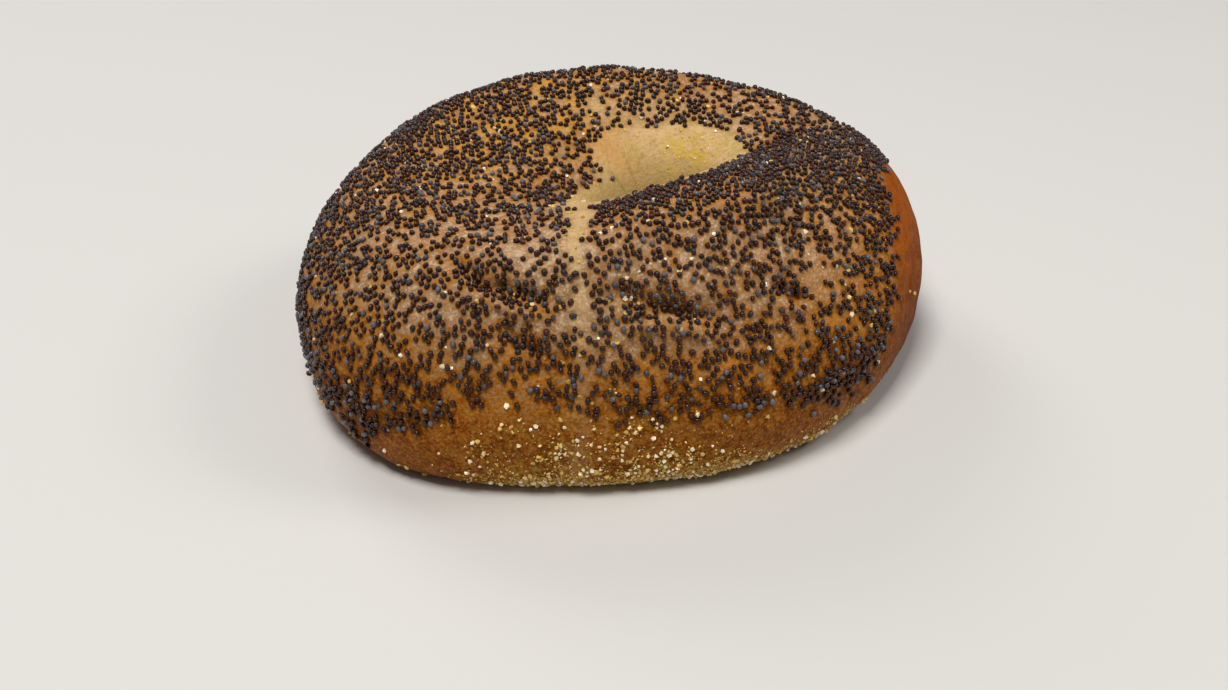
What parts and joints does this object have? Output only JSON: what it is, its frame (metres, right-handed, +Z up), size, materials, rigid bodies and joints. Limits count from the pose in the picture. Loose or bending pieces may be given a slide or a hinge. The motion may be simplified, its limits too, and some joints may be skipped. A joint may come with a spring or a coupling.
{
  "type": "poppy seed bagel",
  "caption": "Baked ring of dough with a narrow slanted hole, a seam and folds, covered in small dark seeds, with cornmeal on its front edge.",
  "frame": {"origin": "on the plane the bagel lies on, under the middle of its outline", "axes": "+Z up through the hole, +X along the longer side with the hole on that side of the middle, +Y away from the seam"},
  "size_m": [0.1131, 0.097, 0.0435],
  "materials": {
    "crust": "baked dough skin, satin, golden to reddish brown, pale in the hole and along the seam",
    "poppy_seed": "blue-black seed coats with a faint waxy sheen",
    "cornmeal": "matt cream to yellow coarse meal"
  },
  "bodies": {
    "root": {"bagel": "crust"}
  },
  "joints": []
}
